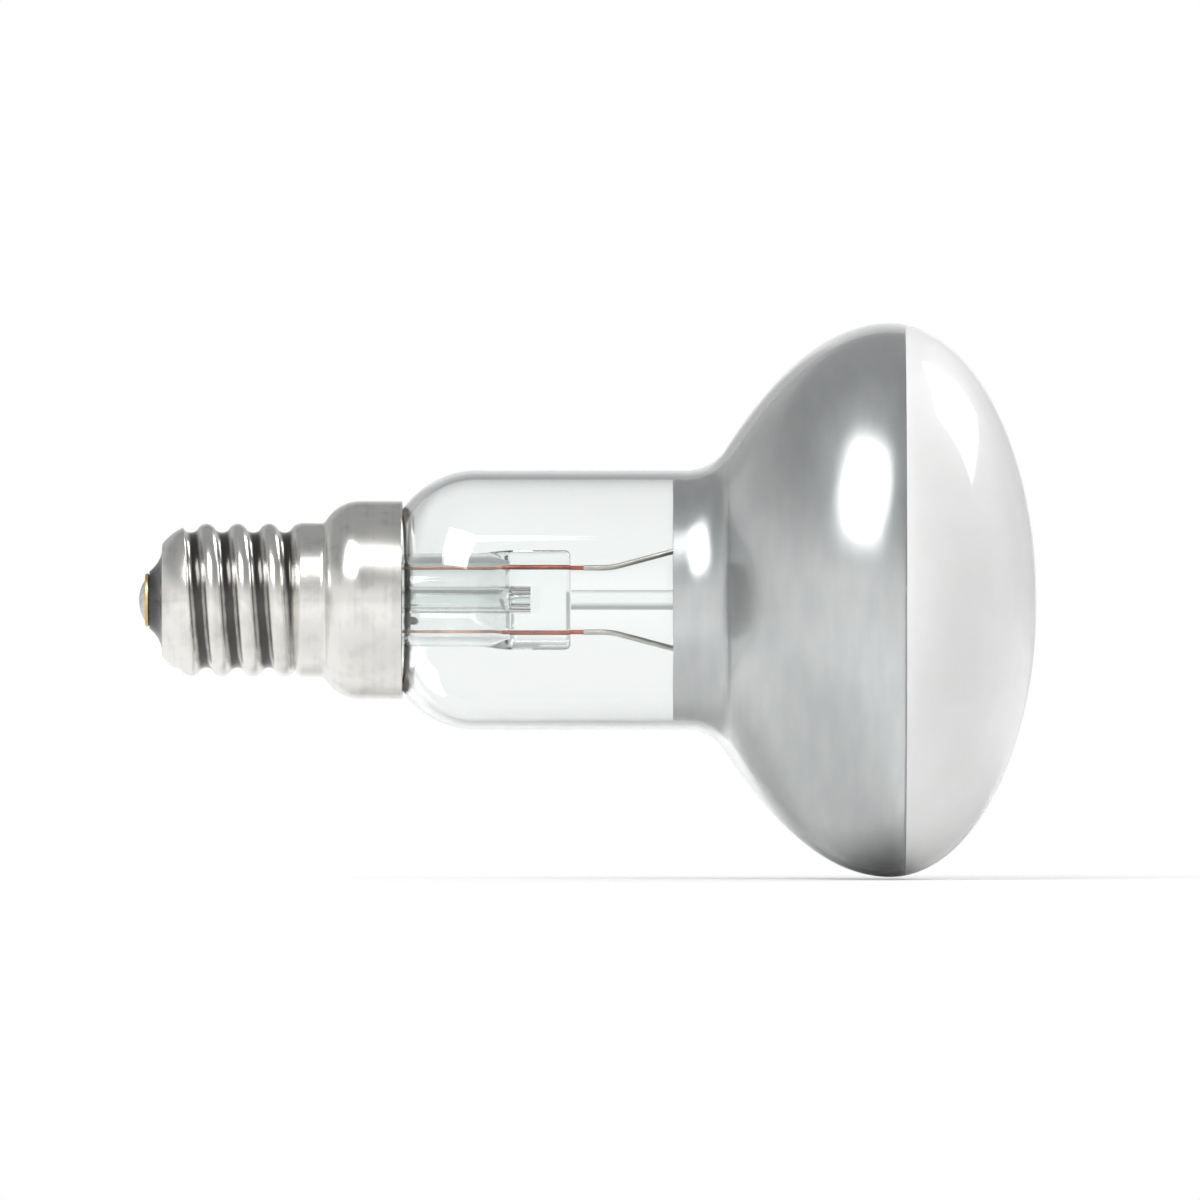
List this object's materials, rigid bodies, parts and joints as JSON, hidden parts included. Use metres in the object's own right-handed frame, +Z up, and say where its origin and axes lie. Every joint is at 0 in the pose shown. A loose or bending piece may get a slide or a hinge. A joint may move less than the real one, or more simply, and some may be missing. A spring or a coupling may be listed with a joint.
{
  "type": "reflector bulb",
  "caption": "Screw-cap reflector bulb: clear glass neck, silvered bowl, satin domed face, glass stem with filament inside, and a threaded metal cap with skirt and centre contact.",
  "frame": {"origin": "tip of the solder dome on the centre contact, on the bulb's axis", "axes": "+X along the bulb's axis from the cap to the face, +Y away from the viewer of the picture, +Z up in it"},
  "size_m": [0.081, 0.05, 0.05],
  "materials": {
    "bulb_glass": "clear blown glass, satin on the face",
    "mirror_film": "bright metal film",
    "stem_glass": "clear glass",
    "seal_copper": "copper-clad wire, red where it is sealed in glass",
    "lead_nickel": "drawn nickel wire",
    "support_molybdenum": "drawn grey wire",
    "filament_tungsten": "dark grey coiled wire",
    "lead_copper": "bare copper wire",
    "cap_metal": "nickel plated, satin",
    "black_glass": "opaque black glass, gloss",
    "contact_brass": "plain brass",
    "solder": "dull tin solder",
    "cement": "matte capping cement"
  },
  "bodies": {
    "root": {"glass_bulb": "bulb_glass", "mirror_coating": "mirror_film", "stem_flare": "stem_glass", "exhaust_tube": "stem_glass", "button_rod": "stem_glass", "seal_wire_upper": "seal_copper", "seal_wire_lower": "seal_copper", "inner_lead_upper": "lead_nickel", "inner_lead_lower": "lead_nickel", "support_wire_upper": "support_molybdenum", "support_wire_middle": "support_molybdenum", "support_wire_lower": "support_molybdenum", "filament": "filament_tungsten", "centre_lead": "lead_copper", "side_lead": "lead_copper", "cap_shell": "cap_metal", "cap_insulator": "black_glass", "contact_plate": "contact_brass", "centre_solder": "solder", "side_solder": "solder", "capping_cement": "cement"}
  },
  "joints": []
}
